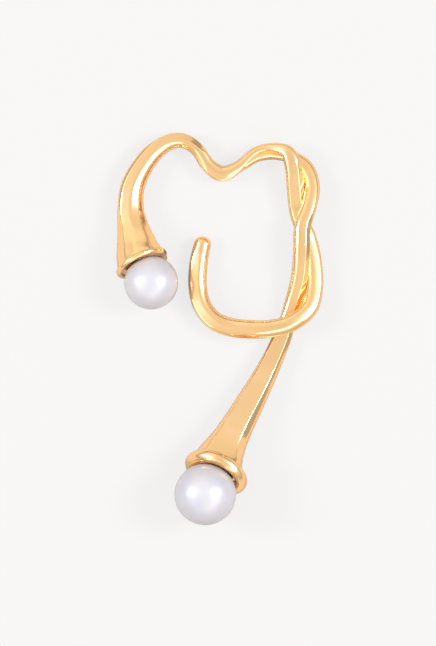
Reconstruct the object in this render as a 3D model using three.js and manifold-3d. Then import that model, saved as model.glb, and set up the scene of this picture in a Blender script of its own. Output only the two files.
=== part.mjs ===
// Ear cuff with two pearls, lying on its back on a table. Millimetres, +Z up.
// One cast gold-plated frame: strand one runs from the upper cup over the arch, down into the
// valley, over the hump and round into the ear hook. Strand two runs from the lower cup up the
// long drop, winds round strand one and melts into it in the valley. Each flared cup carries a
// pearl on a short peg.

import * as THREE from 'three';
import { mergeVertices } from 'three/addons/utils/BufferGeometryUtils.js';
import Module from 'manifold-3d';

// ---- driving dimensions ----
const upperPearlDiameter = 7;
const lowerPearlDiameter = 8;
const pearlGap = 0.3;        // between a pearl and the metal that holds it
const pegRadius = 0.4;       // wire peg soldered in the floor of each cup
const pegInPearl = 2.4;      // how far the peg's end stands past the pearl's near face
const pegInMetal = 1.5;      // how far it is buried in the cup

// heading: the way each cup faces in plan, from +X. rise: how far it looks up. Degrees.
// seat: from the plane of the mouth to the middle of the pearl.
const upperCup = {
  heading: -64, rise: 19, seat: 2.7, lipRadius: 3.56, lipTube: 0.36, mouth: 2.7, dish: 1.5,
};
const lowerCup = {
  heading: -116.7, rise: 30.6, seat: 3.2, lipRadius: 4.3, lipTube: 0.68, mouth: 2.8, dish: 1.6,
};

const ringSides = 16;        // flats round a strand
const ringStep = 1.12;       // between sections along a strand
const domeRings = 4;         // sections in the round end of the hook
const pearlSides = 28;
const pearlBands = 16;
const lipSides = 30;         // flats round a lip or a dish
const lipTubeSides = 10;
const pegSides = 10;
const weldDistance = 1e-4;
const lipSink = 0.8;         // how far the lip's middle lies behind the mouth, in tube radii

// The dish behind the pearl: radius as a share of the mouth's, depth as a share of the dish's.
const dishProfile = table(['radius', 'depth'], [
  [0, 1], [0.5, 0.92], [0.8, 0.6], [1, 0],
]);
const dishFlare = 1.05;      // how much wider the cut gets above the mouth

// Sections of strand one, from the rim of the upper cup to the end of the hook.
// x, y, z: centre. wide: across, seen from above. deep: from table side to top.
// edge: 2 is an ellipse and more is squarer. turn: of the section about the strand.
// lean: of the section's plane, its top edge away from the pearl. Angles in degrees.
const strandOne = table(['x', 'y', 'z', 'wide', 'deep', 'edge', 'turn', 'lean'], [
  [-10.08, 8.36, 3.5, 6.7, 6.7, 2.0, 0, 4],
  [-10.55, 9.7, 3.08, 6.0, 5.9, 2.1, 0, 4],
  [-10.9, 11.15, 2.7, 5.15, 5.0, 2.2, 0, 3],
  [-11.35, 13.3, 2.2, 4.1, 4.0, 2.4, 0, 2],
  [-11.65, 15.4, 2.0, 3.5, 3.3, 2.6, 0, 0],
  [-11.45, 18.3, 1.95, 3.15, 2.9, 2.7, 0, 0],
  [-10.5, 20.55, 1.95, 2.85, 2.7, 2.7, 10, 0],
  [-8.7, 22.95, 1.95, 2.5, 2.5, 2.7, 20, 0],
  [-6.75, 24.3, 1.95, 2.1, 2.2, 2.7, 35, 0],
  [-5.3, 24.6, 1.95, 1.95, 2.0, 2.7, 60, 0],
  [-4.1, 24.25, 1.95, 1.85, 1.9, 2.7, 80, 0],
  [-2.95, 23.35, 1.95, 1.8, 1.8, 2.7, 95, 0],
  [-1.5, 21.3, 1.9, 1.9, 1.8, 2.6, 120, 0],
  [0.2, 20.25, 1.9, 2.1, 1.8, 2.4, 140, 0],
  [2.05, 20.95, 2.0, 1.6, 1.8, 2.3, 160, 0],
  [4.7, 23.2, 2.0, 1.2, 1.7, 2.2, 180, 0],
  [6.2, 23.6, 2.15, 1.2, 1.7, 2.1, 180, 0],
  [7.7, 23.5, 2.5, 1.5, 1.8, 2.1, 180, 0],
  [8.85, 22.9, 2.85, 1.9, 1.9, 2.1, 180, 0],
  [9.55, 20.9, 2.85, 2.2, 2.0, 2.2, 180, 0],
  [9.8, 18.2, 2.15, 2.25, 2.0, 2.2, 180, 0],
  [10.2, 15.0, 1.3, 2.2, 2.0, 2.1, 180, 0],
  [11.45, 11.8, 1.1, 2.2, 2.1, 2.0, 180, 0],
  [12.1, 9.1, 1.3, 2.2, 2.1, 2.0, 180, 0],
  [12.3, 5.6, 1.8, 2.2, 2.1, 2.1, 180, 0],
  [11.6, 2.75, 2.5, 2.25, 2.1, 2.1, 180, 0],
  [9.25, 0.8, 3.05, 2.3, 2.1, 2.1, 180, 0],
  [6.6, 0.1, 3.0, 2.3, 2.1, 2.1, 180, 0],
  [3.9, 0.0, 2.7, 2.45, 2.1, 2.2, 180, 0],
  [1.15, 0.3, 2.3, 2.5, 2.1, 2.3, 180, 0],
  [-0.95, 1.25, 2.0, 2.45, 2.2, 2.3, 180, 0],
  [-2.4, 3.2, 1.7, 2.4, 2.2, 2.2, 180, 0],
  [-2.95, 5.8, 1.45, 2.4, 2.2, 2.1, 180, 0],
  [-2.75, 9.0, 1.3, 2.35, 2.1, 2.0, 180, 0],
  [-2.3, 11.05, 1.25, 2.2, 2.1, 2.0, 180, 0],
]);

// Sections of strand two, from the rim of the lower cup to where it melts into the valley.
const strandTwo = table(['x', 'y', 'z', 'wide', 'deep', 'edge', 'turn', 'lean'], [
  [-0.7, -18.92, 4.1, 7.0, 7.0, 2.0, 0, 12],
  [-0.36, -17.6, 3.62, 6.6, 6.4, 2.1, 0, 12],
  [0.25, -16.2, 3.2, 5.8, 5.5, 2.3, 0, 10],
  [1.25, -14.35, 2.75, 4.75, 4.5, 2.6, 0, 7],
  [2.35, -12.35, 2.4, 4.2, 4.0, 2.8, 0, 5],
  [4.95, -7.65, 1.85, 3.35, 3.1, 2.9, 0, 1],
  [6.25, -5.15, 1.5, 2.95, 2.7, 2.9, 0, 0],
  [8.05, -1.15, 1.25, 2.45, 2.3, 2.6, 0, 0],
  [8.9, 1.5, 1.15, 2.15, 2.1, 2.4, 0, 0],
  [9.6, 3.9, 1.5, 2.15, 2.1, 2.2, 0, 0],
  [10.35, 6.9, 2.3, 2.25, 2.1, 2.1, 0, 0],
  [10.6, 10.0, 2.95, 2.25, 2.1, 2.1, 0, 0],
  [10.7, 13.3, 3.05, 2.2, 2.0, 2.1, 0, 0],
  [11.5, 15.9, 2.6, 2.05, 2.0, 2.1, 0, 0],
  [11.95, 18.5, 1.9, 2.05, 2.0, 2.1, 0, 0],
  [11.2, 20.95, 1.4, 2.05, 2.0, 2.1, 0, 0],
  [9.35, 22.35, 1.2, 1.75, 1.9, 2.1, 0, 0],
  [7.15, 22.75, 1.4, 1.3, 1.8, 2.2, 0, 0],
  [4.8, 22.4, 1.75, 1.25, 1.8, 2.3, 0, 0],
  [3.0, 21.35, 1.9, 1.25, 1.7, 2.3, 0, 0],
  [1.4, 20.5, 1.9, 0.9, 1.1, 2.3, 0, 0],
]);

// Metal that fills the bottom of the two crevices where the strands twist round each other.
const lowerWeb = table(['x', 'y', 'z', 'wide', 'deep', 'edge', 'turn', 'lean'], [
  [10.9, 8.6, 1.3, 0.8, 0.9, 2.4, 0, 0],
  [11.05, 6.8, 1.15, 1.4, 1.4, 2.4, 0, 0],
  [11.05, 5.0, 1.1, 1.5, 1.4, 2.4, 0, 0],
  [10.6, 3.4, 1.2, 1.5, 1.4, 2.4, 0, 0],
  [9.9, 2.1, 1.6, 0.9, 0.9, 2.4, 0, 0],
]);
const upperWeb = table(['x', 'y', 'z', 'wide', 'deep', 'edge', 'turn', 'lean'], [
  [10.5, 21.2, 1.7, 0.7, 0.8, 2.4, 0, 0],
  [10.75, 19.8, 1.4, 1.1, 1.2, 2.4, 0, 0],
  [10.85, 18.4, 1.2, 1.2, 1.2, 2.4, 0, 0],
  [10.75, 16.9, 1.2, 1.0, 1.1, 2.4, 0, 0],
  [10.6, 15.8, 1.4, 0.6, 0.7, 2.4, 0, 0],
]);

const goldColour = 0xf0c483;
const pearlColour = 0xe9e7ee;

const wasm = await Module();
wasm.setup();

function table(columns, rows) {
  return rows.map((row) => Object.fromEntries(columns.map((name, i) => [name, row[i]])));
}

const { degToRad: radians } = THREE.MathUtils;

// ---- solids ----

function toSolid(geometry) {
  const plain = geometry.index ? geometry.toNonIndexed() : geometry.clone();
  plain.deleteAttribute('normal');
  plain.deleteAttribute('uv');
  const merged = mergeVertices(plain, weldDistance);
  return new wasm.Manifold(new wasm.Mesh({
    numProp: 3,
    vertProperties: merged.attributes.position.array,
    triVerts: Uint32Array.from(merged.index.array),
  }));
}

function toGeometry(solid) {
  const { vertProperties, triVerts } = solid.getMesh();
  const geometry = new THREE.BufferGeometry();
  geometry.setAttribute('position', new THREE.BufferAttribute(vertProperties, 3));
  geometry.setIndex(new THREE.BufferAttribute(triVerts, 1));
  geometry.computeVertexNormals();
  return geometry;
}

// ---- strands ----

// Every column of a table as a smooth function of one parameter from 0 to 1.
function strandCurves(rows) {
  const curve = (a, b, c) =>
    new THREE.CatmullRomCurve3(rows.map((row) => new THREE.Vector3(row[a], row[b], row[c])));
  return {
    centre: curve('x', 'y', 'z'),
    size: curve('wide', 'deep', 'edge'),
    angle: curve('turn', 'lean', 'lean'),
  };
}

// The section's axes at parameter t: along the strand, across it and up, with its lean.
function frameAt(curves, t) {
  const centre = curves.centre.getPoint(t);
  const along = curves.centre.getTangent(t);
  const across = new THREE.Vector3(0, 0, 1).cross(along).normalize();
  const lean = radians(curves.angle.getPoint(t).y);
  const up = along.clone().cross(across)
    .multiplyScalar(Math.cos(lean)).addScaledVector(along, Math.sin(lean));
  return { centre, along, across, up };
}

// A superellipse turned in its own plane.
function ringAt(curves, t, shrink = 1, advance = 0) {
  const { centre, along, across, up } = frameAt(curves, t);
  const size = curves.size.getPoint(t);
  const turn = radians(curves.angle.getPoint(t).x);
  const bulge = (value) => Math.sign(value) * Math.abs(value) ** (2 / size.z);
  const ring = [];
  for (let i = 0; i < ringSides; i += 1) {
    const angle = (2 * Math.PI * i) / ringSides;
    const u = 0.5 * size.x * bulge(Math.cos(angle)) * shrink;
    const v = 0.5 * size.y * bulge(Math.sin(angle)) * shrink;
    ring.push(centre.clone()
      .addScaledVector(across, u * Math.cos(turn) - v * Math.sin(turn))
      .addScaledVector(up, u * Math.sin(turn) + v * Math.cos(turn))
      .addScaledVector(along, advance));
  }
  return ring;
}

// A closed solid through rings, capped by a point at each end.
function skin(rings, firstPoint, lastPoint) {
  const corners = [];
  const face = (a, b, c) => corners.push(a, b, c);
  for (let k = 0; k < rings.length - 1; k += 1) {
    for (let i = 0; i < ringSides; i += 1) {
      const j = (i + 1) % ringSides;
      face(rings[k][i], rings[k][j], rings[k + 1][j]);
      face(rings[k][i], rings[k + 1][j], rings[k + 1][i]);
    }
  }
  const last = rings[rings.length - 1];
  for (let i = 0; i < ringSides; i += 1) {
    const j = (i + 1) % ringSides;
    face(firstPoint, rings[0][j], rings[0][i]);
    face(lastPoint, last[i], last[j]);
  }
  const geometry = new THREE.BufferGeometry().setFromPoints(corners);
  return toSolid(geometry);
}

function strandRings(curves, rowCount) {
  const steps = Math.max(Math.round(curves.centre.getLength() / ringStep), rowCount);
  return Array.from({ length: steps + 1 }, (_, k) => {
    const t = curves.centre.getUtoTmapping(k / steps);
    return ringAt(curves, t);
  });
}

// Rings that close the far end of a strand with a half sphere.
function domeAt(curves, radius) {
  return Array.from({ length: domeRings }, (_, k) => {
    const angle = (0.5 * Math.PI * (k + 1)) / (domeRings + 1);
    return ringAt(curves, 1, Math.cos(angle), radius * Math.sin(angle));
  });
}

// ---- cups and pearls ----

// The middle of a cup's mouth and the way it faces.
function mouthOf(cup, strand) {
  const level = Math.cos(radians(cup.rise));
  const heading = radians(cup.heading);
  return {
    centre: strand.centre.getPoint(0),
    outward: new THREE.Vector3(
      level * Math.cos(heading), level * Math.sin(heading), Math.sin(radians(cup.rise))),
  };
}

function placed(geometry, at, direction) {
  const turn = new THREE.Quaternion().setFromUnitVectors(new THREE.Vector3(0, 1, 0), direction);
  return geometry.applyQuaternion(turn).translate(at.x, at.y, at.z);
}

function peg(cup, mouth, pearlRadius, radius, extra) {
  const start = -cup.dish - pegInMetal;
  const end = cup.seat - pearlRadius + pegInPearl + extra;
  const rod = new THREE.CylinderGeometry(radius, radius, end - start, pegSides);
  rod.translate(0, (start + end) / 2, 0);
  return toSolid(placed(rod, mouth.centre, mouth.outward));
}

// The rolled lip is a torus round the mouth, and the dish is a shallow bowl cut into it.
function withCup(strand, cup, mouth, pearlRadius) {
  const tube = new THREE.TorusGeometry(
    cup.lipRadius - cup.lipTube, cup.lipTube, lipTubeSides, lipSides);
  tube.rotateX(Math.PI / 2).translate(0, -lipSink * cup.lipTube, 0);
  const lip = toSolid(placed(tube, mouth.centre, mouth.outward));
  const above = 2 * cup.lipTube + pearlGap;
  const profile = dishProfile.map(
    ({ radius, depth }) => new THREE.Vector2(radius * cup.mouth, -depth * cup.dish));
  profile.push(new THREE.Vector2(dishFlare * cup.mouth, above), new THREE.Vector2(0, above));
  const dish = toSolid(placed(new THREE.LatheGeometry(profile, lipSides), mouth.centre, mouth.outward));
  const seat = ballAt(cup, mouth, pearlRadius + pearlGap);
  const rod = peg(cup, mouth, pearlRadius, pegRadius, 0);
  return strand.add(lip).subtract(dish).subtract(seat).add(rod);
}

function ballAt(cup, mouth, radius) {
  const centre = mouth.centre.clone().addScaledVector(mouth.outward, cup.seat);
  const ball = new THREE.SphereGeometry(radius, pearlSides, pearlBands);
  return toSolid(placed(ball, centre, mouth.outward));
}

function pearl(cup, mouth, radius) {
  const hole = peg(cup, mouth, radius, pegRadius + pearlGap, pearlGap);
  return ballAt(cup, mouth, radius).subtract(hole);
}

// ---- the object ----

const one = strandCurves(strandOne);
const two = strandCurves(strandTwo);
const upperMouth = mouthOf(upperCup, one);
const lowerMouth = mouthOf(lowerCup, two);

const hookEnd = ringAt(one, 1);
const hookRadius = hookEnd[0].distanceTo(hookEnd[ringSides / 2]) / 2;
const hookFrame = frameAt(one, 1);
const hookTip = hookFrame.centre.clone().addScaledVector(hookFrame.along, hookRadius);

const strandOneSolid = skin(
  [...strandRings(one, strandOne.length), ...domeAt(one, hookRadius)], upperMouth.centre, hookTip);
const strandTwoSolid = skin(
  strandRings(two, strandTwo.length), lowerMouth.centre, two.centre.getPoint(1));

const webSolids = [lowerWeb, upperWeb].map((rows) => {
  const web = strandCurves(rows);
  return skin(strandRings(web, rows.length), web.centre.getPoint(0), web.centre.getPoint(1));
});

const frameSolid = withCup(strandOneSolid, upperCup, upperMouth, upperPearlDiameter / 2)
  .add(withCup(strandTwoSolid, lowerCup, lowerMouth, lowerPearlDiameter / 2))
  .add(webSolids[0])
  .add(webSolids[1]);

const group = new THREE.Group();

function addNode(name, solid, colour, metalness, roughness) {
  const material = new THREE.MeshStandardMaterial({ color: colour, metalness, roughness });
  const mesh = new THREE.Mesh(toGeometry(solid), material);
  mesh.name = name;
  group.add(mesh);
}

addNode('gold_frame', frameSolid, goldColour, 1, 0.15);
addNode('upper_pearl', pearl(upperCup, upperMouth, upperPearlDiameter / 2), pearlColour, 0, 0.25);
addNode('lower_pearl', pearl(lowerCup, lowerMouth, lowerPearlDiameter / 2), pearlColour, 0, 0.25);

// The centre of the footprint, at table height, is the origin.
const box = new THREE.Box3().setFromObject(group);
const middle = box.getCenter(new THREE.Vector3());
group.children.forEach((mesh) => mesh.position.set(-middle.x, -middle.y, -box.min.z));

export default group;
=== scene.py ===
import math

import bmesh
import bpy
import numpy as np
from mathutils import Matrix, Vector


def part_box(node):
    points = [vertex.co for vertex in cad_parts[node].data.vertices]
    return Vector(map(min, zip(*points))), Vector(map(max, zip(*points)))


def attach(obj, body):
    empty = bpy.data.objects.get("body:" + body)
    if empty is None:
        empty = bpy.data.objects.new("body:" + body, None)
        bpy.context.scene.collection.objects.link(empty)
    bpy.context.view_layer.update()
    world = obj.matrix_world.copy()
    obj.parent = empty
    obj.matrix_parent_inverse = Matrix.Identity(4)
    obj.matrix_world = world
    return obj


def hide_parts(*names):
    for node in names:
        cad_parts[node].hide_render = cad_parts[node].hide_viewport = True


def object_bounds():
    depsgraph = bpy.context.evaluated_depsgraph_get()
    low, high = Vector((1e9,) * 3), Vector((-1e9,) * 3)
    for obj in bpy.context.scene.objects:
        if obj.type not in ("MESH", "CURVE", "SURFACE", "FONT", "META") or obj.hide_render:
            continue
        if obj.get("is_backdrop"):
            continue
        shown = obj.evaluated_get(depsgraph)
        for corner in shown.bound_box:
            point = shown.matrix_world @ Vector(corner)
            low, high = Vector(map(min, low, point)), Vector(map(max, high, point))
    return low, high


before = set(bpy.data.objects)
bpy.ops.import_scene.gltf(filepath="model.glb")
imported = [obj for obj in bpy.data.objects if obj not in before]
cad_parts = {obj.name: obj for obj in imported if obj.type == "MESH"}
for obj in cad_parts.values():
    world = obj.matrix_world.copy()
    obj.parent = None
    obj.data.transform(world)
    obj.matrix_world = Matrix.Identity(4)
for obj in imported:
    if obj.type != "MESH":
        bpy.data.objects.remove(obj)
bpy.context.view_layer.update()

# A two-pearl ear cuff lying on its back on a lit table. Lengths in the tables are millimetres, in axes
# of their own, and everything that is built is in metres, in the frame's axes.

mm = 0.001
print("frame loaded, nodes:", sorted(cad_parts))


def linearColour(hexText):
    # sRGB hex to the linear colour that the shaders take
    parts = [int(hexText[i:i + 2], 16) / 255 for i in (1, 3, 5)]
    return [p / 12.92 if p <= 0.04045 else ((p + 0.055) / 1.055) ** 2.4 for p in parts] + [1.0]


def setInputs(tree, node, inputs):
    # each input is a value, or the socket that feeds it
    for name, value in inputs.items():
        if isinstance(value, bpy.types.NodeSocket):
            tree.links.new(value, node.inputs[name])
        else:
            node.inputs[name].default_value = value


def addNode(tree, kind, settings=None, inputs=None):
    node = tree.nodes.new(kind)
    for name, value in (settings or {}).items():
        setattr(node, name, value)
    setInputs(tree, node, inputs or {})
    return node


def mathOn(tree):
    # gives a function that adds one math node to the tree and returns its result
    def compute(operation, *inputs):
        node = addNode(tree, "ShaderNodeMath", {"operation": operation}, dict(enumerate(inputs)))
        return node.outputs[0]
    return compute


def mixed(tree, kind, share, first, second):
    # two numbers or two colours, mixed by the share of the second
    low, high, result = {"FLOAT": (2, 3, 0), "RGBA": (6, 7, 2)}[kind]
    node = addNode(tree, "ShaderNodeMix", {"data_type": kind}, {0: share, low: first, high: second})
    return node.outputs[result]


def noise(tree, size, detail):
    # soft noise through the solid, with waves of the given size in mm
    spot = addNode(tree, "ShaderNodeTexCoord").outputs["Object"]
    inputs = {"Vector": spot, "Scale": 1 / (size * mm), "Detail": detail}
    return addNode(tree, "ShaderNodeTexNoise", None, inputs).outputs[0]


def relief(tree, height, depth, below=None):
    # fine relief of the given depth in mm, on top of any other
    inputs = {"Height": height, "Strength": 1.0, "Distance": depth * mm}
    if below is not None:
        inputs["Normal"] = below
    return addNode(tree, "ShaderNodeBump", None, inputs).outputs[0]


def newMaterial(name):
    material = bpy.data.materials.new(name)
    material.use_nodes = True
    return material, material.node_tree, material.node_tree.nodes["Principled BSDF"]


def addObject(name, content):
    thing = bpy.data.objects.new(name, content)
    bpy.context.scene.collection.objects.link(thing)
    return thing


def direction(bearing, rise):
    # the way that has this bearing in plan, from +X, and this rise above the table
    level = math.cos(rise)
    return Vector((level * math.cos(bearing), level * math.sin(bearing), math.sin(rise)))


def table(columns, rows):
    # a short table as one array for each named column
    return dict(zip(columns, np.array(rows, dtype=float).T))


goldFinish = {
    "warm": "#FFC97C",
    "pale": "#FFCD8A",
    "toneSize": 4.0,             # mm, of the patches of the two tones
    "toneDetail": 2.0,
    "waveSize": 2.5,             # mm between the casting's waves
    "waveDetail": 1.0,
    "waveHeight": 0.004,
    "markSize": 0.3,             # mm, coarser than real mop marks so that they show
    "markDetail": 3.0,
    "markHeight": 0.0003,
    "markRange": (0.3, 0.7),     # of the noise, spread over the two roughnesses
    "roughness": (0.04, 0.1),
    "lacquer": 1.0,              # clear coat that keeps the plating bright, and hazes the highlights
    "lacquerRoughness": 0.34,
    "lacquerIor": 1.72,
}


def polishedGold():
    # gold-plated brass, cast and hand polished: a warm mirror whose reflections wander a little with
    # the casting's waves, and break up slightly where the polishing mop left fine marks
    material, tree, shader = newMaterial("goldPlatedBrassPolished")
    tone = noise(tree, goldFinish["toneSize"], goldFinish["toneDetail"])
    marks = noise(tree, goldFinish["markSize"], goldFinish["markDetail"])
    waves = noise(tree, goldFinish["waveSize"], goldFinish["waveDetail"])
    (low, high), (smoothest, roughest) = goldFinish["markRange"], goldFinish["roughness"]
    rough = addNode(tree, "ShaderNodeMapRange", None, {
        "Value": marks, "From Min": low, "From Max": high, "To Min": smoothest, "To Max": roughest})
    swell = relief(tree, waves, goldFinish["waveHeight"])
    warm, pale = linearColour(goldFinish["warm"]), linearColour(goldFinish["pale"])
    setInputs(tree, shader, {
        "Metallic": 1.0,
        "Base Color": mixed(tree, "RGBA", tone, warm, pale),
        "Roughness": rough.outputs[0],
        "Normal": relief(tree, marks, goldFinish["markHeight"], swell),
        "Coat Weight": goldFinish["lacquer"],
        "Coat Roughness": goldFinish["lacquerRoughness"],
        "Coat IOR": goldFinish["lacquerIor"],
    })
    return material


pearlFinish = {
    "body": "#8E929D",
    "blush": "#A8A09A",
    "cloudSize": 3.0,            # mm
    "cloudDetail": 3.0,
    "ringSize": 0.35,            # mm between growth rings, coarser than real ones so that they show
    "ringDetail": 2.0,
    "ringHeight": 0.0006,
    "ior": 1.53,
    "roughness": 0.42,
    "gloss": 0.9,
    "overtone": "#C9D0FF",       # the bluish halo round its highlights
    "coat": 0.6,
    "coatRoughness": 0.2,
    "depth": 0.25,               # share of the light that goes into the nacre and comes out beside
    "depthRadius": (1.0, 0.9, 0.85),
    "depthScale": 0.8,           # mm
}


def nacre():
    # cultured pearl, layered nacre tumbled smooth: a soft milky body under a clear sheen, with faint
    # clouds of lavender and rose and the hint of growth rings in its highlights
    material, tree, shader = newMaterial("pearlNacreTumbled")
    clouds = noise(tree, pearlFinish["cloudSize"], pearlFinish["cloudDetail"])
    growth = noise(tree, pearlFinish["ringSize"], pearlFinish["ringDetail"])
    body, blush = linearColour(pearlFinish["body"]), linearColour(pearlFinish["blush"])
    setInputs(tree, shader, {
        "Base Color": mixed(tree, "RGBA", clouds, body, blush),
        "Normal": relief(tree, growth, pearlFinish["ringHeight"]),
        "IOR": pearlFinish["ior"],
        "Roughness": pearlFinish["roughness"],
        "Specular IOR Level": pearlFinish["gloss"],
        "Specular Tint": linearColour(pearlFinish["overtone"]),
        "Coat Weight": pearlFinish["coat"],
        "Coat Roughness": pearlFinish["coatRoughness"],
        "Subsurface Weight": pearlFinish["depth"],
        "Subsurface Radius": pearlFinish["depthRadius"],
        "Subsurface Scale": pearlFinish["depthScale"] * mm,
    })
    return material


loftSizes = {
    "stepsPerRow": 40,       # points worked out between two rows before they are evened out
    "endStep": 6,            # degrees between the rings of a round end
    "largestPower": 40.0,    # more than this and the soft shoulder is a straight line anyway
}


def smoothRows(rows, step):
    # every column as a centripetal Catmull-Rom curve, resampled at equal steps along the path
    data = np.stack(list(rows.values()), axis=1)
    gaps = np.linalg.norm(np.diff(data[:, :3], axis=0), axis=1) ** 0.5
    slopes = np.diff(data, axis=0) / gaps[:, None]
    tangents = np.empty_like(data)
    tangents[0], tangents[-1] = slopes[0], slopes[-1]
    spans = (gaps[:-1] + gaps[1:])[:, None]
    tangents[1:-1] = slopes[:-1] + slopes[1:] - (data[2:] - data[:-2]) / spans
    t = np.linspace(0, 1, loftSizes["stepsPerRow"] + 1)[1:, None]
    start, startSlope = 2 * t ** 3 - 3 * t ** 2 + 1, t ** 3 - 2 * t ** 2 + t
    end, endSlope = 3 * t ** 2 - 2 * t ** 3, t ** 3 - t ** 2
    dense = [data[:1]]
    for i, gap in enumerate(gaps):
        dense.append(start * data[i] + startSlope * gap * tangents[i]
                     + end * data[i + 1] + endSlope * gap * tangents[i + 1])
    dense = np.concatenate(dense)
    length = np.concatenate([[0], np.cumsum(np.linalg.norm(np.diff(dense[:, :3], axis=0), axis=1))])
    where = np.linspace(0, length[-1], round(length[-1] / step) + 1)
    columns = {name: np.interp(where, length, dense[:, i]) for i, name in enumerate(rows)}
    return columns, where


def unit(vectors):
    return vectors / np.linalg.norm(vectors, axis=1)[:, None]


def spineOf(strand):
    # position, section axes, section sizes and flats at every ring of a strand, in metres
    columns, where = smoothRows(strand["rows"], strand["ringStep"])
    centre = np.stack([columns["x"], columns["y"], columns["z"]], axis=1)
    along = unit(np.gradient(centre, axis=0))
    across = unit(np.cross([0.0, 0.0, 1.0], along))
    lean = np.radians(columns["lean"])[:, None]
    up = np.cross(along, across) * np.cos(lean) + along * np.sin(lean)
    half = np.stack([columns["wide"], columns["deep"]], axis=1) / 2
    outer = np.interp(where, strand["edges"]["at"], strand["edges"]["outer"])
    inner = np.interp(where, strand["edges"]["at"], strand["edges"]["inner"])
    if strand["roundEnd"]:
        angles = np.radians(np.arange(loftSizes["endStep"], 90, loftSizes["endStep"]))
        radius = half[-1].mean()
        centre = np.concatenate([centre, centre[-1] + along[-1] * radius * np.sin(angles)[:, None]])
        half = np.concatenate([half, half[-1] * np.cos(angles)[:, None]])
        where = np.concatenate([where, where[-1] + radius * np.sin(angles)])
        added = len(angles)
        across, up, outer, inner = (
            np.concatenate([a, np.repeat(a[-1:], added, axis=0)]) for a in (across, up, outer, inner))
    halfVectors = np.pad(half, ((0, 0), (0, 1))) * mm
    spine = {"across": across, "up": up, "half": halfVectors, "outer": outer, "inner": inner}
    for index, flat in enumerate(strand["flats"]):
        faces = np.radians(np.interp(where, flat["at"], flat["faces"]))
        cut = np.interp(where, flat["at"], flat["cut"])
        reach = np.hypot(half[:, 0] * np.sin(faces), half[:, 1] * np.cos(faces)) * (1 - cut)
        spine[f"flat{index}"] = np.stack([np.sin(faces), np.cos(faces), reach * mm], axis=1)
        spine[f"softness{index}"] = np.interp(where, flat["at"], flat["softness"]) * mm
    return centre * mm, spine


def loftTree(flatCount):
    # Geometry Nodes: a closed tube with one ring for each point of the spine that it is given
    tree = bpy.data.node_groups.new("strandLoft", "GeometryNodeTree")
    sockets = {"Geometry": "Geometry", "Rings": "Int", "Sides": "Int", "Material": "Material"}
    for name, kind in sockets.items():
        tree.interface.new_socket(name, in_out="INPUT", socket_type="NodeSocket" + kind)
    tree.interface.new_socket("Geometry", in_out="OUTPUT", socket_type="NodeSocketGeometry")
    given = addNode(tree, "NodeGroupInput").outputs
    compute = mathOn(tree)

    # a plain tube two units long, whose rings are counted from its lower end
    segments = compute("SUBTRACT", given["Rings"], 1.0)
    tube = addNode(tree, "GeometryNodeMeshCylinder", {"fill_type": "TRIANGLE_FAN"},
                   {"Radius": 1.0, "Depth": 2.0, "Vertices": given["Sides"], "Side Segments": segments})
    spot = addNode(tree, "GeometryNodeInputPosition").outputs[0]
    plain = addNode(tree, "ShaderNodeSeparateXYZ", None, {0: spot}).outputs
    ring = compute("ROUND", compute("MULTIPLY", compute("MULTIPLY_ADD", plain["Z"], 0.5, 0.5), segments))

    def sample(name, kind):
        # what the spine says at this point's ring
        read = spot
        if name != "position":
            named = addNode(tree, "GeometryNodeInputNamedAttribute", {"data_type": kind}, {"Name": name})
            read = named.outputs[0]
        return addNode(tree, "GeometryNodeSampleIndex", {"data_type": kind, "domain": "POINT"},
                       {"Geometry": given["Geometry"], "Value": read, "Index": ring}).outputs[0]

    def samplePart(name):
        return addNode(tree, "ShaderNodeSeparateXYZ", None, {0: sample(name, "FLOAT_VECTOR")}).outputs

    # the round section made squarer, by its own amount on the outer and the inner side
    half = samplePart("half")
    outer, inner = sample("outer", "FLOAT"), sample("inner", "FLOAT")
    outside = compute("GREATER_THAN", plain["X"], 0.0)
    edge = compute("MULTIPLY_ADD", compute("SUBTRACT", outer, inner), outside, inner)
    squared = []
    for axis in "XY":
        bulge = compute("POWER", compute("ABSOLUTE", plain[axis]), compute("DIVIDE", 2.0, edge))
        signed = compute("MULTIPLY", compute("SIGN", plain[axis]), bulge)
        squared.append(compute("MULTIPLY", signed, half[axis]))
    u, v = squared

    for index in range(flatCount):
        # whatever stands past the flat's plane is filed down to it, with a soft shoulder
        flat = samplePart(f"flat{index}")
        reach = compute("ADD", compute("MULTIPLY", u, flat["X"]), compute("MULTIPLY", v, flat["Y"]))
        softness = sample(f"softness{index}", "FLOAT")
        past = compute("DIVIDE", compute("SUBTRACT", reach, flat["Z"]), softness)
        raised = compute("EXPONENT", compute("MINIMUM", past, loftSizes["largestPower"]))
        spread = compute("MULTIPLY", compute("LOGARITHM", compute("ADD", raised, 1.0), math.e), softness)
        filed = compute("MAXIMUM", spread, compute("MULTIPLY", past, softness))
        u = compute("SUBTRACT", u, compute("MULTIPLY", filed, flat["X"]))
        v = compute("SUBTRACT", v, compute("MULTIPLY", filed, flat["Y"]))

    place = sample("position", "FLOAT_VECTOR")
    for name, amount in (("across", u), ("up", v)):
        aside = addNode(tree, "ShaderNodeVectorMath", {"operation": "SCALE"},
                        {0: sample(name, "FLOAT_VECTOR"), "Scale": amount}).outputs[0]
        added = addNode(tree, "ShaderNodeVectorMath", {"operation": "ADD"}, {0: place, 1: aside})
        place = added.outputs[0]
    moved = addNode(tree, "GeometryNodeSetPosition", None,
                    {"Geometry": tube.outputs["Mesh"], "Position": place})
    smooth = addNode(tree, "GeometryNodeSetShadeSmooth", None, {"Geometry": moved.outputs[0]})
    real = addNode(tree, "GeometryNodeRealizeInstances", None, {"Geometry": smooth.outputs[0]})
    coated = addNode(tree, "GeometryNodeSetMaterial", None,
                     {"Geometry": real.outputs[0], "Material": given["Material"]})
    addNode(tree, "NodeGroupOutput", None, {"Geometry": coated.outputs[0]})
    return tree


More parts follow.
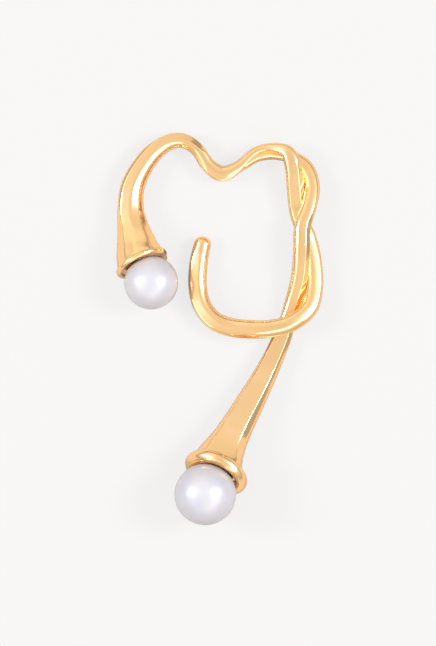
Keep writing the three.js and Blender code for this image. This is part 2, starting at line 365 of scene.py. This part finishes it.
def plainMesh(thing):
    # the evaluated object as a mesh of its own, with the object thrown away
    bpy.context.view_layer.update()
    graph = bpy.context.evaluated_depsgraph_get()
    mesh = bpy.data.meshes.new_from_object(thing.evaluated_get(graph))
    bpy.data.objects.remove(thing)
    return mesh


def combine(thing, other, operation):
    # a closed solid joined with another, or cut by it, with the other thrown away
    step = thing.modifiers.new(operation, "BOOLEAN")
    step.solver = "MANIFOLD"
    step.operation = operation
    step.object = other
    mesh = plainMesh(thing)
    bpy.data.objects.remove(other)
    return addObject(mesh.name, mesh)


def loftedStrand(name, strand, material):
    centre, spine = spineOf(strand)
    points = bpy.data.meshes.new(name + "Spine")
    points.vertices.add(len(centre))
    points.vertices.foreach_set("co", (centre + toFrame).ravel())
    for key, values in spine.items():
        kind, part = ("FLOAT", "value") if values.ndim == 1 else ("FLOAT_VECTOR", "vector")
        attribute = points.attributes.new(key, kind, "POINT")
        attribute.data.foreach_set(part, values.ravel().astype(np.float32))
    thing = addObject(name, points)
    loft = thing.modifiers.new("loft", "NODES")
    loft.node_group = loftTree(len(strand["flats"]))
    inputs = {"Rings": len(centre), "Sides": strand["sides"], "Material": material}
    for item in loft.node_group.interface.items_tree:
        if item.in_out == "INPUT" and item.name in inputs:
            loft[item.identifier] = inputs[item.name]
    return addObject(name, plainMesh(thing))


# what the two cups share, with lengths in mm
cupSizes = {
    "sides": 160,
    "lipSides": 24,
    "bowlStep": 6,           # degrees between the rings of the dish
    "flare": 1.05,           # how much the hole widens from the dish to the front of the lip
    "seatGap": 0.1,          # round the pearl
    "seatRings": 48,
}

# the wire that holds each pearl, and the blind hole that it goes into, with lengths in mm
pegSizes = {
    "radius": 0.4,
    "inMetal": 1.5,
    "inPearl": 2.4,
    "gap": 0.3,              # round the wire in its hole, and past its end
    "sides": 32,
    "holeStart": -2,         # from the mouth, well clear of the pearl
    "holeSides": 48,
}

pearlSizes = {
    "segments": 128,
    "rings": 64,
}

# edges sharper than this stay crisp, and the rest are shaded smooth
sharpAngle = math.radians(24)


def mouthOf(cup, strand):
    # the middle of a cup's mouth, and the way it faces
    outward = direction(math.radians(cup["heading"]), math.radians(cup["rise"]))
    rows = strand["rows"]
    return Vector((rows["x"][0], rows["y"][0], rows["z"][0])) * mm + toFrame, outward


def pearlMiddle(cup, strand):
    middle, outward = mouthOf(cup, strand)
    return middle + outward * cup["seat"] * mm


def circleAngles(count):
    return [2 * math.pi * k / count for k in range(count)]


def turned(name, profile, middle, outward, sides, material, loop=False):
    # a solid whose profile, of radius and height in mm, is turned round the cup's axis
    mesh = bpy.data.meshes.new(name)
    shape = bmesh.new()
    axis = Vector((0, 0, 1)).rotation_difference(outward).to_matrix()
    columns = []
    for radius, height in profile:
        if radius == 0:
            columns.append([shape.verts.new(axis @ Vector((0, 0, height * mm)) + middle)] * sides)
            continue
        ring = [Vector((radius * math.cos(a), radius * math.sin(a), height)) for a in circleAngles(sides)]
        columns.append([shape.verts.new(axis @ corner * mm + middle) for corner in ring])
    pairs = list(zip(columns, columns[1:]))
    if loop:
        pairs.append((columns[-1], columns[0]))
    for first, second in pairs:
        for k in range(sides):
            corners = [first[k], first[(k + 1) % sides], second[(k + 1) % sides], second[k]]
            shape.faces.new(list(dict.fromkeys(corners)))
    bmesh.ops.recalc_face_normals(shape, faces=shape.faces)
    shape.to_mesh(mesh)
    shape.free()
    mesh.materials.append(material)
    mesh.shade_smooth()
    return addObject(name, mesh)


def ballProfile(radius, bands):
    angles = [math.pi * k / bands for k in range(bands + 1)]
    inside = [(radius * math.sin(a), -radius * math.cos(a)) for a in angles[1:-1]]
    return [(0, -radius)] + inside + [(0, radius)]


def rodProfile(radius, start, end):
    return [(0, start), (radius, start), (radius, end), (0, end)]


def finished(thing, name):
    # shaded smooth, but for its sharp edges
    thing.name = name
    thing.data.shade_smooth()
    thing.data.set_sharp_from_angle(angle=sharpAngle)
    return thing


def withCup(body, cup, strand, material):
    # the rolled lip goes on, the dish and the pearl's seat are cut and the peg is set in
    middle, outward = mouthOf(cup, strand)
    tube, sink = cup["lipTube"], cup["lipSink"]
    ring = cup["lipRadius"] - tube
    turns = circleAngles(cupSizes["lipSides"])
    lip = [(ring + tube * math.cos(a), tube * (math.sin(a) - sink)) for a in turns]
    front = 2 * tube + pegSizes["gap"]
    mouth, dish, step = cup["mouth"], cup["dish"], cupSizes["bowlStep"]
    bowlAngles = np.radians(np.arange(step, 90 + step, step))
    bowl = [(mouth * math.sin(a), -dish * math.cos(a)) for a in bowlAngles]
    dishProfile = [(0, -dish)] + bowl + [(cupSizes["flare"] * mouth, front), (0, front)]
    pearlRadius = cup["pearlDiameter"] / 2
    seatProfile = ballProfile(pearlRadius + cupSizes["seatGap"], cupSizes["seatRings"])
    pegStart, pegEnd = -dish - pegSizes["inMetal"], cup["seat"] - pearlRadius + pegSizes["inPearl"]
    rod = rodProfile(pegSizes["radius"], pegStart, pegEnd)

    sides, seatMiddle = cupSizes["sides"], pearlMiddle(cup, strand)
    body = combine(body, turned("lip", lip, middle, outward, sides, material, loop=True), "UNION")
    body = combine(body, turned("dish", dishProfile, middle, outward, sides, material), "DIFFERENCE")
    body = combine(body, turned("seat", seatProfile, seatMiddle, outward, sides, material), "DIFFERENCE")
    return combine(body, turned("peg", rod, middle, outward, pegSizes["sides"], material), "UNION")


def drilledPearl(name, cup, strand, material):
    middle, outward = mouthOf(cup, strand)
    pearlRadius, gap = cup["pearlDiameter"] / 2, pegSizes["gap"]
    profile = ballProfile(pearlRadius, pearlSizes["rings"])
    ball = turned(name, profile, pearlMiddle(cup, strand), outward, pearlSizes["segments"], material)
    holeEnd = cup["seat"] - pearlRadius + pegSizes["inPearl"] + gap
    drill = rodProfile(pegSizes["radius"] + gap, pegSizes["holeStart"], holeEnd)
    hole = turned("hole", drill, middle, outward, pegSizes["holeSides"], material)
    return finished(combine(ball, hole, "DIFFERENCE"), name)


# Each row of a strand is a place on its middle line, the width and depth of its section there, in mm,
# and how far the section leans along the line, in degrees.
strandColumns = ["x", "y", "z", "wide", "deep", "lean"]

# How square the section is on its outer and its inner side, by mm from the cup: 2 is an ellipse and more
# is squarer.
edgeColumns = ["at", "outer", "inner"]

# A flat that is filed along the strand: mm from the cup, the way it faces in degrees, where 0 is up and +
# is outwards from the loop, the share of the half width that it takes off, and how far its shoulders are
# softened, in mm. A cut below 0 lies outside the ellipse and takes only the corners of a squarer section.
flatColumns = ["at", "faces", "cut", "softness"]
noCut = -0.4                 # far enough out to leave any section as it is

# Strand one, from the rim of the upper cup over the arch, the valley and the hump to the hook's end.
strandOne = {
    "ringStep": 0.3,         # mm
    "sides": 168,
    "rows": table(strandColumns, [
        [-10.08, 8.36, 3.5, 6.7, 6.7, 4],
        [-10.55, 9.7, 3.08, 6.0, 5.9, 4],
        [-10.9, 11.15, 2.7, 5.15, 5.0, 3],
        [-11.35, 13.3, 2.2, 4.1, 4.0, 2],
        [-11.65, 15.4, 2.0, 3.5, 3.3, 0],
        [-11.45, 18.3, 1.95, 3.15, 2.9, 0],
        [-10.5, 20.55, 1.95, 2.85, 2.7, 0],
        [-8.7, 22.95, 1.95, 2.5, 2.5, 0],
        [-6.75, 24.3, 1.95, 2.1, 2.2, 0],
        [-5.3, 24.6, 1.95, 1.95, 2.0, 0],
        [-4.1, 24.25, 1.95, 1.85, 1.9, 0],
        [-2.95, 23.35, 1.95, 1.8, 1.8, 0],
        [-1.5, 21.3, 1.9, 1.9, 1.8, 0],
        [0.2, 20.25, 1.9, 2.1, 1.8, 0],
        [2.05, 20.95, 2.0, 1.6, 1.8, 0],
        [4.7, 23.2, 2.0, 1.2, 1.7, 0],
        [6.2, 23.6, 2.15, 1.2, 1.7, 0],
        [7.7, 23.5, 2.5, 1.5, 1.8, 0],
        [8.85, 22.9, 2.85, 1.9, 1.9, 0],
        [9.55, 20.9, 2.85, 2.2, 2.0, 0],
        [9.8, 18.2, 2.15, 2.25, 2.0, 0],
        [10.2, 15.0, 1.3, 2.2, 2.0, 0],
        [11.45, 11.8, 1.1, 2.2, 2.1, 0],
        [12.1, 9.1, 1.3, 2.2, 2.1, 0],
        [12.3, 5.6, 1.8, 2.2, 2.1, 0],
        [11.6, 2.75, 2.5, 2.25, 2.1, 0],
        [9.25, 0.8, 3.05, 2.3, 2.1, 0],
        [6.6, 0.1, 3.0, 2.3, 2.1, 0],
        [3.9, 0.0, 2.7, 2.45, 2.1, 0],
        [1.15, 0.3, 2.3, 2.5, 2.1, 0],
        [-0.95, 1.25, 2.0, 2.45, 2.2, 0],
        [-2.4, 3.2, 1.7, 2.4, 2.2, 0],
        [-2.95, 5.8, 1.45, 2.4, 2.2, 0],
        [-2.75, 9.0, 1.3, 2.35, 2.1, 0],
        [-2.3, 11.05, 1.25, 2.2, 2.1, 0],
    ]),
    "edges": table(edgeColumns, [
        [0, 2.0, 2.2], [3, 2.5, 3.0], [6, 3.2, 3.0], [9, 4.2, 2.2], [18, 4.4, 2.1], [21, 3.6, 2.6],
        [24, 2.8, 2.8], [28, 2.4, 2.8], [34, 2.3, 2.3], [38, 3.0, 3.0], [40, 4.0, 3.0],
        [44, 4.0, 3.0], [46, 2.6, 3.0], [52, 2.4, 2.8], [57, 2.2, 2.6], [62, 2.1, 2.4],
        [68, 2.1, 2.3], [74, 2.4, 2.1], [79, 2.4, 2.0], [81, 2.2, 2.0],
    ]),
    "flats": [
        table(flatColumns, [
            [0, 14, 0.03, 0.05], [2.5, 14, 0.04, 0.03], [5, 13, 0.05, 0.02], [8, 12, 0.045, 0.02],
            [14, 11, 0.04, 0.02], [18, 15, 0.06, 0.02], [20.5, 30, 0.12, 0.02],
            [22.5, 44, 0.08, 0.02], [24, 50, noCut, 0.02], [44, 17, noCut, 0.06],
            [47, 17, 0.03, 0.06], [55, 17, 0.04, 0.06], [60, 17, -0.05, 0.1], [64, 17, -0.1, 0.1],
            [68, 17, -0.05, 0.1], [72, 17, 0.09, 0.03], [79, 17, 0.09, 0.03], [81, 16, 0.04, 0.03],
            [82, 16, noCut, 0.05],
        ]),
        table(flatColumns, [
            [0, -5, 0.04, 0.05], [2.5, -6, 0.05, 0.02], [6, -8, 0.06, 0.02], [8, -15, 0.05, 0.02],
            [9.5, -21, 0.045, 0.02], [14, -22, 0.045, 0.02], [17, -23, 0.06, 0.02],
            [18.5, -23, 0.035, 0.02], [20.5, -23, -0.06, 0.04], [24, -22, -0.06, 0.04],
            [26.5, -22, 0.035, 0.03], [29, -20, 0.03, 0.03], [32, -20, noCut, 0.03],
            [37, 2, noCut, 0.04], [39, 2, 0.06, 0.04], [44, 2, 0.12, 0.04], [46, 2, noCut, 0.04],
        ]),
        table(flatColumns, [
            [0, 48, 0.0, 0.05], [2.5, 47, 0.01, 0.03], [5, 46, -0.02, 0.02], [8, 44, -0.09, 0.02],
            [16, 44, -0.1, 0.02], [20, 44, noCut, 0.02], [37, 44, noCut, 0.03], [39, 44, 0.03, 0.02],
            [43.5, 44, 0.03, 0.02], [45.5, 44, noCut, 0.03], [57, 38, noCut, 0.06],
            [60, 38, 0.05, 0.06], [68, 38, 0.05, 0.06], [72, 42, noCut, 0.06],
        ]),
        table(flatColumns, [
            [0, -52, 0.0, 0.08], [3, -50, -0.02, 0.06], [6, -48, 0.0, 0.06], [9, -46, 0.03, 0.05],
            [12, -46, 0.04, 0.05], [17, -46, 0.04, 0.05], [19.5, -43, 0.05, 0.05],
            [22, -38, 0.07, 0.05], [24, -36, 0.05, 0.05], [26.5, -34, noCut, 0.05],
        ]),
    ],
    "roundEnd": True,
}

# Strand two, from the rim of the lower cup up the drop, round strand one and into the valley.
strandTwo = {
    "ringStep": 0.3,
    "sides": 168,
    "rows": table(strandColumns, [
        [-0.7, -18.92, 4.1, 7.0, 7.0, 12],
        [-0.36, -17.6, 3.62, 6.6, 6.4, 12],
        [0.25, -16.2, 3.2, 5.8, 5.5, 10],
        [1.25, -14.35, 2.75, 4.75, 4.5, 7],
        [2.35, -12.35, 2.4, 4.2, 4.0, 5],
        [4.95, -7.65, 1.85, 3.35, 3.1, 1],
        [6.25, -5.15, 1.5, 2.95, 2.7, 0],
        [8.05, -1.15, 1.25, 2.45, 2.3, 0],
        [8.9, 1.5, 1.15, 2.15, 2.1, 0],
        [9.6, 3.9, 1.5, 2.15, 2.1, 0],
        [10.35, 6.9, 2.3, 2.25, 2.1, 0],
        [10.6, 10.0, 2.95, 2.25, 2.1, 0],
        [10.7, 13.3, 3.05, 2.2, 2.0, 0],
        [11.5, 15.9, 2.6, 2.05, 2.0, 0],
        [11.95, 18.5, 1.9, 2.05, 2.0, 0],
        [11.2, 20.95, 1.4, 2.05, 2.0, 0],
        [9.35, 22.35, 1.2, 1.75, 1.9, 0],
        [7.15, 22.75, 1.4, 1.3, 1.8, 0],
        [4.8, 22.4, 1.75, 1.25, 1.8, 0],
        [3.0, 21.35, 1.9, 1.25, 1.7, 0],
        [1.4, 20.5, 1.9, 0.9, 1.1, 0],
    ]),
    "edges": table(edgeColumns, [
        [0, 2.0, 2.0], [3, 2.2, 2.2], [8, 2.8, 2.8], [22, 2.9, 3.4], [26, 2.3, 3.2],
        [36, 2.3, 3.2], [40, 2.3, 2.4], [46, 2.3, 2.3], [54, 2.3, 2.3],
    ]),
    "flats": [
        table(flatColumns, [
            [0, 0, 0.2, 0.05], [3, 0, 0.2, 0.03], [6, 0, 0.22, 0.012], [20, 0, 0.2, 0.012],
            [24, -4, 0.08, 0.03], [36, -5, 0.05, 0.03], [40, -5, noCut, 0.03],
        ]),
        table(flatColumns, [
            [0, -41, noCut, 0.04], [2.5, -41, 0.0, 0.03], [4.5, -42, 0.1, 0.02],
            [8, -42, 0.11, 0.018], [14, -43, 0.08, 0.018], [20, -43, 0.06, 0.018],
            [24, -44, 0.04, 0.015], [36, -44, 0.03, 0.015], [40, -44, noCut, 0.02],
        ]),
        table(flatColumns, [
            [0, -66, noCut, 0.04], [2.5, -66, -0.02, 0.04], [5, -66, 0.03, 0.03],
            [18, -66, 0.03, 0.03], [24, -66, noCut, 0.03],
        ]),
    ],
    "roundEnd": False,
}

# The metal that fills the bottom of the two crevices where the strands twist round each other.
webs = {
    "ringStep": 0.3,
    "sides": 32,
    "edges": table(edgeColumns, [[0, 2.4, 2.4], [9, 2.4, 2.4]]),
    "flats": [],
    "roundEnd": False,
}
lowerWeb = dict(webs, rows=table(strandColumns, [
    [10.9, 8.6, 1.3, 0.8, 0.9, 0],
    [11.05, 6.8, 1.15, 1.4, 1.4, 0],
    [11.05, 5.0, 1.1, 1.5, 1.4, 0],
    [10.6, 3.4, 1.2, 1.5, 1.4, 0],
    [9.9, 2.1, 1.6, 0.9, 0.9, 0],
]))
upperWeb = dict(webs, rows=table(strandColumns, [
    [10.5, 21.2, 1.7, 0.7, 0.8, 0],
    [10.75, 19.8, 1.6, 1.1, 1.2, 0],
    [10.85, 18.4, 1.5, 1.2, 1.2, 0],
    [10.75, 16.9, 1.5, 1.0, 1.1, 0],
    [10.6, 15.8, 1.4, 0.6, 0.7, 0],
]))

upperCup = {
    "heading": -64,          # degrees in plan, from +X
    "rise": 19,              # degrees that the mouth looks up
    "seat": 2.7,             # mm from the plane of the mouth to the pearl's middle
    "lipRadius": 3.56,       # mm to the outside of the lip
    "lipTube": 0.36,         # mm, the radius of the roll
    "lipSink": 0.8,          # how far the lip's middle lies behind the mouth, in radii of its tube
    "mouth": 2.2,            # mm, the radius of the dish at the mouth
    "dish": 1.0,             # mm, its depth
    "pearlDiameter": 7.0,    # mm
}

lowerCup = {
    "heading": -116.7,
    "rise": 30.6,
    "seat": 3.2,
    "lipRadius": 4.3,
    "lipTube": 0.8,
    "lipSink": 0.55,
    "mouth": 2.2,
    "dish": 1.1,
    "pearlDiameter": 8.0,
}

# How far the tables have to move to lie in the frame: both pearls are placed by the tables first, and
# they miss the frame's pearls by that much.
toFrame = Vector((0, 0, 0))
misses = []
for node, cup, strand in (("upper_pearl", upperCup, strandOne), ("lower_pearl", lowerCup, strandTwo)):
    low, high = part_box(node)
    misses.append((low + high) / 2 - pearlMiddle(cup, strand))
toFrame = (misses[0] + misses[1]) / 2
print("tables to frame, mm:", [round(value / mm, 3) for value in toFrame])

gold = polishedGold()
nacreous = nacre()

goldFrame = loftedStrand("goldFrame", strandOne, gold)
for name, strand in (("strandTwo", strandTwo), ("lowerWeb", lowerWeb), ("upperWeb", upperWeb)):
    goldFrame = combine(goldFrame, loftedStrand(name, strand, gold), "UNION")
print("strands and webs lofted and joined")

goldFrame = withCup(goldFrame, upperCup, strandOne, gold)
goldFrame = withCup(goldFrame, lowerCup, strandTwo, gold)
goldFrame = finished(goldFrame, "goldFrame")
print("cups cut, gold faces:", len(goldFrame.data.polygons))

upperPearl = drilledPearl("upperPearl", upperCup, strandOne, nacreous)
lowerPearl = drilledPearl("lowerPearl", lowerCup, strandTwo, nacreous)
print("pearls turned and drilled")


lightSizes = {
    "distance": 0.6,             # m
    "leftAngle": 52,             # degrees from straight up
    "rightAngle": 42,
    "towardTop": 6,
    "size": (0.16, 0.22),        # m
    "power": 4.0,
}


def softbox(name, side, angle):
    # a rectangular soft light on one side, turned to the middle of the table
    data = bpy.data.lights.new(name, "AREA")
    data.shape = "RECTANGLE"
    data.size, data.size_y = lightSizes["size"]
    data.energy = lightSizes["power"]
    light = addObject(name, data)
    tilt, lift = math.radians(angle), math.radians(lightSizes["towardTop"])
    way = Vector((side * math.sin(tilt), math.sin(lift), math.cos(tilt))).normalized()
    light.location = way * lightSizes["distance"]
    light.rotation_euler = way.to_track_quat("Z", "Y").to_euler()
    light.visible_camera = False


floorSizes = {
    "half": 1.0,                 # m, from its middle to its edges
    "colour": "#A09B96",
    "roughness": 0.9,
    "glow": 0.94,
    "glowShare": 0.82,           # how much of what the camera sees of it is its own light
}


def buildFloor():
    half = floorSizes["half"]
    mesh = bpy.data.meshes.new("floor")
    corners = [(-half, -half, 0), (half, -half, 0), (half, half, 0), (-half, half, 0)]
    mesh.from_pydata(corners, [], [(0, 1, 2, 3)])
    # frosted acrylic light table: even, pale and only faintly shadowed
    material, tree, sheet = newMaterial("acrylicLightTable")
    setInputs(tree, sheet, {
        "Base Color": linearColour(floorSizes["colour"]),
        "Roughness": floorSizes["roughness"],
        "Specular IOR Level": 0.0,
    })
    glow = addNode(tree, "ShaderNodeEmission", None, {"Strength": floorSizes["glow"]})
    seen = addNode(tree, "ShaderNodeLightPath").outputs["Is Camera Ray"]
    compute = mathOn(tree)
    share = compute("MULTIPLY", seen, floorSizes["glowShare"])
    both = addNode(tree, "ShaderNodeMixShader", None, {0: share, 1: sheet.outputs[0], 2: glow.outputs[0]})
    setInputs(tree, tree.nodes["Material Output"], {"Surface": both.outputs[0]})
    mesh.materials.append(material)
    return addObject("floor", mesh)


# the tent's brightness by height, from 0 level with the table to 1 straight above it, at its left and
# right sides and at its top and bottom ends
tent = table(["height", "sides", "ends"], [
    [0.0, 0.45, 0.55], [0.1, 0.5, 0.6], [0.22, 0.62, 0.7], [0.36, 0.85, 0.82],
    [0.7, 0.97, 0.9], [0.9, 0.98, 0.9], [0.985, 0.85, 0.84], [1.0, 0.82, 0.82],
])

# soft white cards hung in the tent: compass bearing from +X and tilt from straight up, half width and
# half height, and the fade at their edges, in degrees, and how bright they are
cardColumns = ["bearing", "tilt", "wide", "high", "fade", "level"]
cards = [
    [155, 48, 46, 12, 14, 1.15],
    [0, 44, 24, 10, 10, 1.15],
    [-40, 46, 45, 7, 7, 3.6],
    [187, 49, 28, 4, 5, 3.0],
    [60, 82, 40, 8, 6, 0.45],
]

# how bright the tent is where the camera looks straight at it
backdropLevel = 0.93


def skyRamp(tree, height, levels):
    # the brightness at a height, from one column of the tent's table
    ramp = addNode(tree, "ShaderNodeValToRGB", None, {0: height})
    stops = ramp.color_ramp.elements
    while len(stops) < len(levels):
        stops.new(0.5)
    for stop, position, level in zip(stops, tent["height"], levels):
        stop.position = position
        stop.color = [level, level, level, 1.0]
    return ramp.outputs[0]


def cardMask(tree, way, card):
    # 1 inside the card, 0 outside it and soft at its edges
    compute = mathOn(tree)
    bearing, tilt, fade = (math.radians(card[name]) for name in ("bearing", "tilt", "fade"))
    toward = direction(bearing, math.pi / 2 - tilt)
    aside = Vector((-math.sin(bearing), math.cos(bearing), 0))

    def lengthAlong(axis):
        dot = addNode(tree, "ShaderNodeVectorMath", {"operation": "DOT_PRODUCT"}, {0: way, 1: axis})
        return dot.outputs["Value"]

    facing = lengthAlong(toward)
    mask = compute("GREATER_THAN", facing, 0.0)
    for axis, reach in ((aside, card["wide"]), (toward.cross(aside), card["high"])):
        angle = compute("ABSOLUTE", compute("ARCTAN2", lengthAlong(axis), facing))
        edge = math.radians(reach)
        inside = addNode(tree, "ShaderNodeMapRange", {"interpolation_type": "SMOOTHSTEP"},
                         {"Value": angle, "From Min": edge + fade, "From Max": edge})
        mask = compute("MULTIPLY", mask, inside.outputs[0])
    return mask


def buildWorld():
    # a white tent, bright overhead and dimmer low down, with its cards
    world = bpy.data.worlds.new("tent")
    bpy.context.scene.world = world
    world.use_nodes = True
    tree = world.node_tree
    compute = mathOn(tree)
    way = addNode(tree, "ShaderNodeTexCoord").outputs["Generated"]
    parts = addNode(tree, "ShaderNodeSeparateXYZ", None, {0: way}).outputs
    sides, ends = skyRamp(tree, parts["Z"], tent["sides"]), skyRamp(tree, parts["Z"], tent["ends"])
    sideways = compute("SINE", compute("ARCTAN2", parts["X"], parts["Y"]))
    level = mixed(tree, "FLOAT", compute("MULTIPLY", sideways, sideways), ends, sides)
    for row in cards:
        card = dict(zip(cardColumns, row))
        level = mixed(tree, "FLOAT", cardMask(tree, way, card), level, card["level"])
    seen = addNode(tree, "ShaderNodeLightPath").outputs["Is Camera Ray"]
    level = mixed(tree, "FLOAT", seen, level, backdropLevel)
    setInputs(tree, tree.nodes["Background"], {"Color": (1.0, 1.0, 1.0, 1.0), "Strength": level})


viewSizes = {
    "lens": 300,                 # mm
    "sensor": 36,                # mm
    "height": 0.08398,           # m of table that the long side of the frame takes in
    "centre": (-0.00027, 0.00066, 0.003),
    "clipEnd": 10,               # m
}


def buildCamera():
    # straight above the table
    view = bpy.data.cameras.new("camera")
    view.lens = viewSizes["lens"]
    view.sensor_width = viewSizes["sensor"]
    view.clip_end = viewSizes["clipEnd"]
    camera = addObject("camera", view)
    distance = viewSizes["lens"] * viewSizes["height"] / viewSizes["sensor"]
    camera.location = Vector(viewSizes["centre"]) + Vector((0, 0, distance))
    bpy.context.scene.camera = camera


floor = buildFloor()
buildWorld()
softbox("softboxLeft", -1, lightSizes["leftAngle"])
softbox("softboxRight", 1, lightSizes["rightAngle"])
buildCamera()
bpy.context.scene.view_settings.view_transform = "Standard"
print("stage set")

for piece, node, slot in ((goldFrame, "gold_frame", "gold"), (upperPearl, "upper_pearl", "pearl"),
                          (lowerPearl, "lower_pearl", "pearl")):
    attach(piece, "root")
    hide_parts(node)
floor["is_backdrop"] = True

shownBox = [list(corner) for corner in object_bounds()]
print("sizes written, mm:", [[round(v / mm, 2) for v in corner] for corner in shownBox])
